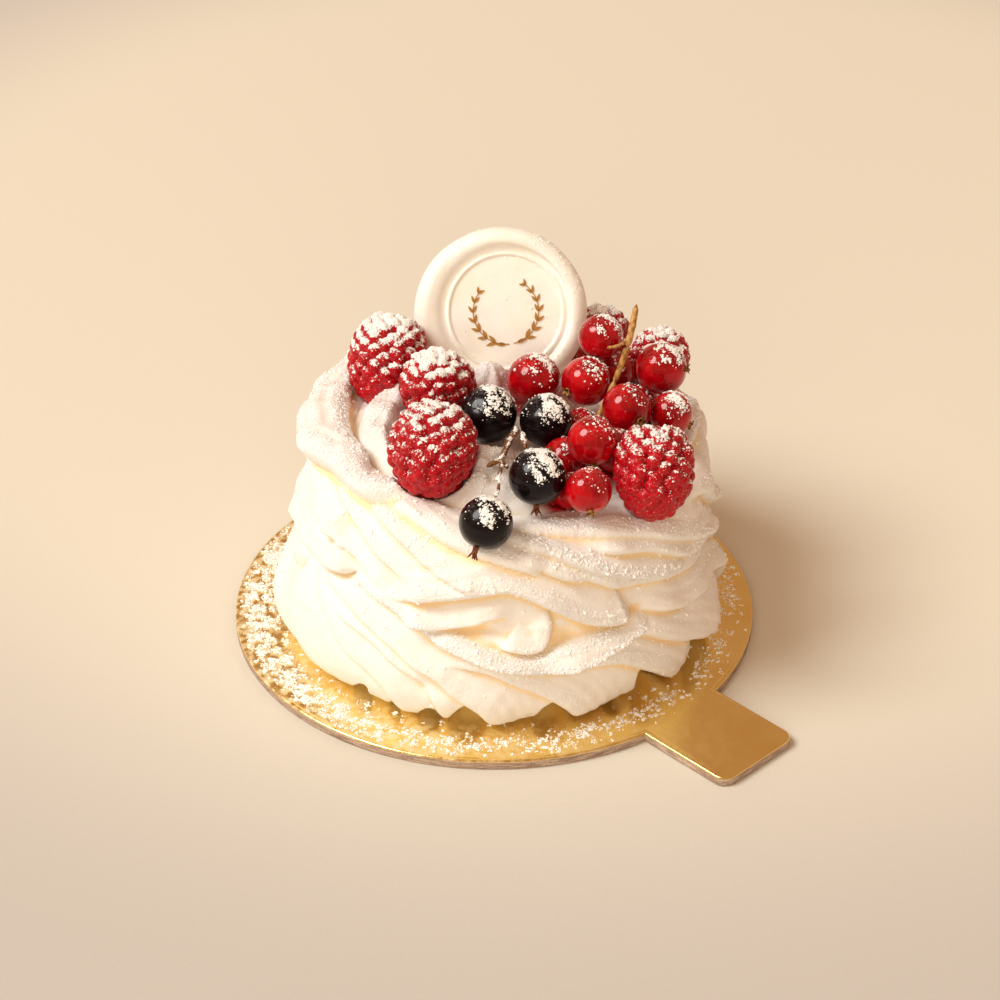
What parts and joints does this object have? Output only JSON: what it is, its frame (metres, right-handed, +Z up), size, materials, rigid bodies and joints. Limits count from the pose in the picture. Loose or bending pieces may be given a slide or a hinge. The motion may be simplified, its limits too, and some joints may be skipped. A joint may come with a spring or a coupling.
{
  "type": "pavlova dessert on a cake board",
  "caption": "Small round pavlova: piped meringue nest filled with cream, topped with berries and a white chocolate seal, on a gold card board with a lifting tab.",
  "frame": {"origin": "middle of the round cake board's underside", "axes": "+Z up, the front with the lone blackcurrant on the rim faces -Y, the board's tab points to the right and front"},
  "size_m": [0.1032, 0.1047, 0.0686],
  "materials": {
    "gold_card": "satin gold foil on card, plain card edge",
    "meringue": "dry satin meringue with warm creases, dusted with icing sugar",
    "whipped_cream": "soft satin whipped cream",
    "white_chocolate": "smooth satin ivory chocolate with a gold ornament",
    "raspberry": "velvety crimson drupelets dusted with icing sugar",
    "redcurrant": "glossy translucent red skin",
    "blackcurrant": "near-black skin with a faint bloom",
    "stalk": "dry green-brown fruit stalk"
  },
  "bodies": {
    "root": {"cake_board": "gold_card", "meringue": "meringue", "whipped_cream": "whipped_cream", "seal_disc": "white_chocolate", "raspberry_1": "raspberry", "raspberry_2": "raspberry", "raspberry_3": "raspberry", "raspberry_4": "raspberry", "raspberry_5": "raspberry", "raspberry_6": "raspberry", "redcurrant_1": "redcurrant", "redcurrant_2": "redcurrant", "redcurrant_3": "redcurrant", "redcurrant_4": "redcurrant", "redcurrant_5": "redcurrant", "redcurrant_6": "redcurrant", "redcurrant_7": "redcurrant", "redcurrant_8": "redcurrant", "redcurrant_9": "redcurrant", "redcurrant_10": "redcurrant", "redcurrant_11": "redcurrant", "redcurrant_12": "redcurrant", "redcurrant_13": "redcurrant", "redcurrant_14": "redcurrant", "blackcurrant_1": "blackcurrant", "blackcurrant_2": "blackcurrant", "blackcurrant_3": "blackcurrant", "blackcurrant_4": "blackcurrant", "redcurrant_stalk": "stalk", "blackcurrant_stalk": "stalk"}
  },
  "joints": []
}
